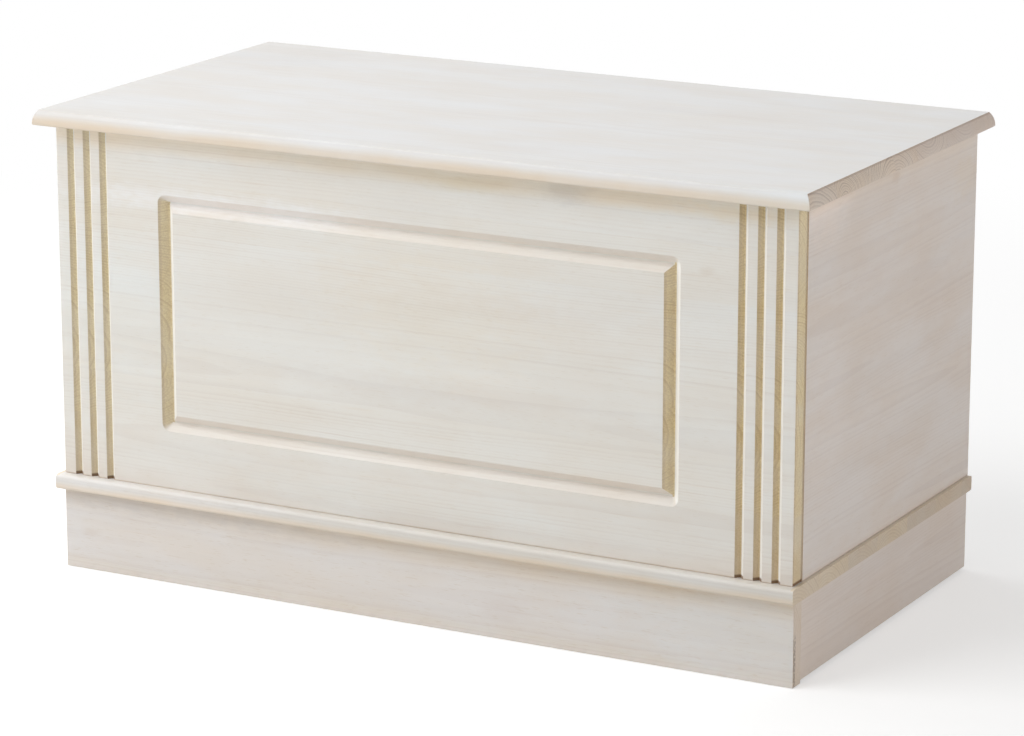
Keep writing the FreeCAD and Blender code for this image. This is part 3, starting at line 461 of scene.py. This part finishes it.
# Soft marks: place along and across the board, half sizes, tint and strength. Most are tone; those under the
# lid on the front panel and those tinted shade are painted light and shade.
MARKS = {
    "front_panel": (
        # The first mark is painted light that lifts the lid's shadow at the left; the later marks at a height
        # of 0.474 and the last two marks are painted warm shade under the lid.
        (-0.30, 0.474, 0.24, 0.018, "bright", 0.8), (-0.22, 0.4165, 0.26, 0.016, "chalk", 0.9),
        (0.25, 0.474, 0.09, 0.014, "honey", 0.35), (-0.36, 0.30, 0.10, 0.12, "cool", 0.6),
        (0.02, 0.335, 0.15, 0.085, "warm", 0.5), (0.03, 0.248, 0.27, 0.02, "dusk", 0.45),
        (0.092, 0.268, 0.06, 0.024, "light", 0.8), (0.178, 0.474, 0.034, 0.016, "shade", 0.95),
        (-0.014, 0.432, 0.07, 0.024, "grey", 0.5), (-0.02, 0.120, 0.26, 0.03, "cool", 0.7),
        (0.11, 0.35, 0.2, 0.018, "dusk", 0.3), (0.33, 0.41, 0.012, 0.006, "brown", 0.25),
        (0.36, 0.469, 0.06, 0.011, "warm", 1.0), (0.06, 0.469, 0.07, 0.010, "amber", 0.4),
    ),
    "right_side_panel": (
        (0.014, 0.470, 0.012, 0.008, "brown", 0.4), (-0.15, 0.26, 0.07, 0.1, "light", 0.7),
        (-0.16, 0.462, 0.07, 0.034, "bright", 1.0), (0.13, 0.33, 0.09, 0.03, "dusk", 0.4),
        (-0.04, 0.38, 0.09, 0.014, "dusk", 0.4), (-0.15, 0.474, 0.09, 0.014, "bright", 0.8),
        (0.20, 0.44, 0.05, 0.03, "warm", 0.8),
    ),
    "plinth_front": (
        (-0.397, 0.042, 0.016, 0.006, "brown", 0.3), (0.106, 0.03, 0.035, 0.022, "dusk", 0.5),
        (-0.40, 0.084, 0.36, 0.018, "shade", 1.0), (0.36, 0.045, 0.18, 0.05, "cool", 1.0),
    ),
    "base_board": ((-0.36, -0.228, 0.3, 0.1, "bright", 0.6), (-0.30, -0.228, 0.16, 0.05, "chalk", 0.4)),
    "lid_panel": (
        (0.44, -0.235, 0.12, 0.02, "cool", 0.8),
        (0.19, 0.085, 0.1, 0.02, "dusk", 0.25), (0.3, 0.02, 0.12, 0.018, "dusk", 0.25),
        (-0.15, 0.175, 0.08, 0.014, "dusk", 0.25), (0.1, -0.17, 0.09, 0.016, "dusk", 0.2),
        (-0.38, 0.15, 0.12, 0.10, "shade", 0.3),
    ),
}
# Zones by height, all painted shade: where the tint starts, where it is full, tint and strength.
# Painted shade on the walls: a warm tint under the lid, and a dark line at the joint with the base board.
WALL_ZONES = ((0.462, 0.476, "corner", 0.4), (0.1066, 0.1052, "seam", 0.8))
ZONES = {
    # Painted warm shade under the lid, painted shade darker towards the bottom, and a dark line at the joint
    # with the base board.
    "front_panel": (
        (0.458, 0.475, "corner", 0.9), (0.19, 0.15, "dusk", 0.4), (0.134, 0.105, "dusk", 0.8),
        (0.1062, 0.1050, "seam", 0.7),
    ),
    # Painted warm shade on the lower rounding of the lid's nose and of the base's nose.
    "lid_panel": ((0.4978, 0.4878, "honey", 0.95),),
    "base_board": ((0.0985, 0.0905, "honey", 0.8),),
    # Painted shade and warm bounce under the base's nose, and painted warm bounce near the floor.
    "plinth_front": (
        (0.058, 0.082, "corner", 0.8), (0.078, 0.0875, "warm", 0.8), (0.022, 0.004, "warm", 0.5),
    ),
    "right_side_panel": WALL_ZONES, "left_side_panel": WALL_ZONES, "back_panel": WALL_ZONES,
}


def dress(name, made):
    """Gives a node's mesh one material."""
    mesh = nodes[name].data
    mesh.materials.clear()
    mesh.materials.append(made)


for name, (grain, across, through, seed, look, width) in BOARDS.items():
    low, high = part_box(name)
    middle = (low[AXIS[through]] + high[AXIS[through]]) / 2
    made = material(name + "_pine")
    pine = Pine(made, grain, across, through, middle, seed, look, width)
    pine.paint(*(table.get(name, ()) for table in (KNOTS, MARKS, ZONES)))
    dress(name, made)

# Metal: cells per metre of its tarnish, brush lines and specks, and how strongly they show.
TARNISH_CELLS, TARNISH_DETAIL, TARNISH_ROUGH, TARNISH_RAMP = 70.0, 4.0, 0.6, (0.35, 0.7, 0.0, 0.75)
BRUSH_CELLS, SPECK_CELLS, SPECK_RAMP, SPECK_SHOWS = 600, 900.0, (0.62, 0.75), 0.35
RUBBED_RADIUS, RUBBED = 0.0004, (0.8, 0.98, 0.6)
WEAR_SPREAD = 0.22
SCRATCH_STRENGTH, SCRATCH_DEPTH = 0.2, 0.00005


def metal(name, base, stain, rough, brushed, stretch):
    """Plated or cast metal: fine brush lines, a cloudy tarnish and edges that are rubbed bright."""
    made = material(name)
    net = Net(made.node_tree)
    spot = net.add("TexCoord").outputs["Object"]
    cloud = net.noise(spot, TARNISH_CELLS, TARNISH_DETAIL, TARNISH_ROUGH)
    lines = net.noise(net.scaled(spot, [BRUSH_CELLS * way for way in stretch]))
    speck = net.ramp(net.noise(spot, SPECK_CELLS, 1.0), *SPECK_RAMP)
    paint = net.mix(net.ramp(cloud, *TARNISH_RAMP), base, stain)
    paint = net.mix(net.product(speck, SPECK_SHOWS), paint, stain)
    paint = net.mix(net.edge_share(RUBBED_RADIUS, *RUBBED), paint, base)
    smooth = net.math("MULTIPLY_ADD", lines, brushed, rough - WEAR_SPREAD / 2)
    wear = net.math("MULTIPLY_ADD", cloud, WEAR_SPREAD, smooth)
    scratches = {"Strength": SCRATCH_STRENGTH, "Distance": SCRATCH_DEPTH, "Height": lines}
    net.surface(Base_Color=paint, Metallic=1.0, Roughness=wear, Normal=net.add("Bump", scratches).outputs[0])
    return made


# Colour, stain, roughness, strength of the brush lines and their stretch by axis.
METALS = {
    "brass_plate": (colour(226, 190, 118), colour(186, 146, 84), 0.28, 0.14, (0.1, 3, 3)),
    "nickel_steel": (colour(206, 203, 196), colour(166, 163, 158), 0.27, 0.16, (3, 3, 0.1)),
    "rivet_steel": (colour(196, 195, 192), colour(150, 148, 146), 0.24, 0.10, (1, 1, 1)),
    "zinc_steel": (colour(204, 208, 212), colour(160, 164, 158), 0.34, 0.10, (1, 1, 1)),
    "zinc_casting": (colour(176, 178, 180), colour(140, 142, 142), 0.5, 0.08, (1, 1, 1)),
}
# Pieces of each metal, without the side in their names.
PIECES = {
    "brass_plate": (
        "hinge_wall_leaf", "hinge_lid_leaf", "hinge_pin", "hinge_wall_screws", "hinge_lid_screws",
    ),
    "nickel_steel": ("stay_wall_bracket", "stay_lid_bracket", "stay_lower_arm", "stay_upper_arm"),
    "rivet_steel": ("stay_wall_pivot", "stay_elbow_rivet", "stay_lid_pivot", "stay_stop_pin"),
    "zinc_steel": (
        "cam_bolts", "base_screws", "floor_screws", "block_screws", "batten_screws", "stay_wall_screws",
        "stay_lid_screws",
    ),
    "zinc_casting": ("cam_housings",),
}
metal_of = {}
for name, values in METALS.items():
    made = metal(name, *values)
    metal_of.update((stem, made) for stem in PIECES[name])
for name in nodes:
    if name not in BOARDS:
        dress(name, metal_of[name.replace("_left", "").replace("_right", "")])

# Studio: a pale floor that fades to white, a white backdrop, lamps and the camera.
FLOOR_SIZE, FLOOR_Z = 60.0, -0.0005
FLOOR_COLOUR = colour(226, 226, 226)
FLOOR_LIFT = 0.42
FLOOR_FADE = (0.8, 2.2)
WORLD_LEVEL = 0.155
# Lamp: place, what it aims at, size and power.
LAMPS = {
    "key": ((-1.7, -2.2, 3.2), (0, 0, 0.25), (2.6, 2.6), 79.5),
    "top_left": ((-2.0, 0.7, 3.0), (0, 0, 0.4), (2.0, 2.0), 28.5),
    "left": ((-3.2, 0.4, 1.2), (0, 0, 0.3), (1.6, 2.0), 10.0),
    "left_front": ((-3.4, -1.35, 1.0), (0, 0, 0.3), (1.2, 1.4), 30.5),
    "low_front": ((-0.3, -3.6, 0.8), (0, 0, 0.25), (3.0, 1.5), 13.0),
    "right": ((3.4, -0.6, 1.6), (0, 0, 0.3), (2.0, 2.0), 34.0),
    "back": ((-1.0, 2.6, 2.6), (0, 0, 0.4), (2.4, 2.0), 11.5),
}
SENSOR_WIDTH, LENS, CLIP_END = 36.0, 144.23, 200.0
CAMERA_PLACE = (1.9944, -3.7087, 1.3225)
CAMERA_DOWN, CAMERA_TURN = 14.640, 28.286

scene = bpy.context.scene


def put(name, data):
    made = bpy.data.objects.new(name, data)
    scene.collection.objects.link(made)
    return made


def plane(name, size, z):
    mesh = bpy.data.meshes.new(name)
    half = size / 2
    corners = [(-half, -half, z), (half, -half, z), (half, half, z), (-half, half, z)]
    mesh.from_pydata(corners, [], [(0, 1, 2, 3)])
    return put(name, mesh)


def shown_share(net):
    """1 for rays that are seen straight, mirrored or through glass, and 0 for those that light the chest."""
    seen = net.add("LightPath").outputs
    mirrored = net.math("MAXIMUM", seen["Is Glossy Ray"], seen["Is Transmission Ray"])
    return net.math("MAXIMUM", seen["Is Camera Ray"], mirrored)


def floor_paint():
    """Pale floor that the camera sees as near white, with the chest's soft shadow kept."""
    made = material("studio_floor")
    net = Net(made.node_tree)
    spot = net.add("TexCoord").outputs["Object"]
    away = net.add("VectorMath", {0: spot}, operation="LENGTH").outputs["Value"]
    shown = shown_share(net)
    matt = net.add("BsdfDiffuse", {"Color": FLOOR_COLOUR})
    lift = net.add("Emission", {"Color": WHITE, "Strength": net.product(shown, FLOOR_LIFT)})
    both = net.add("AddShader", {0: matt.outputs[0], 1: lift.outputs[0]})
    white = net.add("Emission", {"Color": WHITE, "Strength": 1.0})
    share = net.product(net.ramp(away, *FLOOR_FADE), shown)
    shader = net.add("MixShader", {0: share, 1: both.outputs[0], 2: white.outputs[0]})
    net.add("OutputMaterial", {"Surface": shader.outputs[0]})
    return made


floor = plane("studio_floor", FLOOR_SIZE, FLOOR_Z)
floor.data.materials.append(floor_paint())

world = bpy.data.worlds.new("studio")
world.use_nodes = True
scene.world = world
net = Net(world.node_tree)
level = net.math("MULTIPLY_ADD", shown_share(net), 1.0 - WORLD_LEVEL, WORLD_LEVEL)
backdrop = net.add("Background", {"Color": WHITE, "Strength": level})
net.add("OutputWorld", {"Surface": backdrop.outputs[0]})

for name, (place, aim, size, power) in LAMPS.items():
    data = bpy.data.lights.new(name, "AREA")
    data.shape = "RECTANGLE"
    data.size, data.size_y = size
    data.energy = power
    lamp = put(name, data)
    lamp.location = place
    lamp.rotation_euler = (Vector(aim) - Vector(place)).to_track_quat("-Z", "Y").to_euler()

camera_data = bpy.data.cameras.new("camera")
camera_data.sensor_width = SENSOR_WIDTH
camera_data.sensor_fit = "HORIZONTAL"
camera_data.lens = LENS
camera_data.clip_end = CLIP_END
camera = put("camera", camera_data)
camera.location = CAMERA_PLACE
camera.rotation_euler = (math.radians(90 - CAMERA_DOWN), 0.0, math.radians(CAMERA_TURN))
scene.camera = camera
scene.view_settings.view_transform = "Standard"
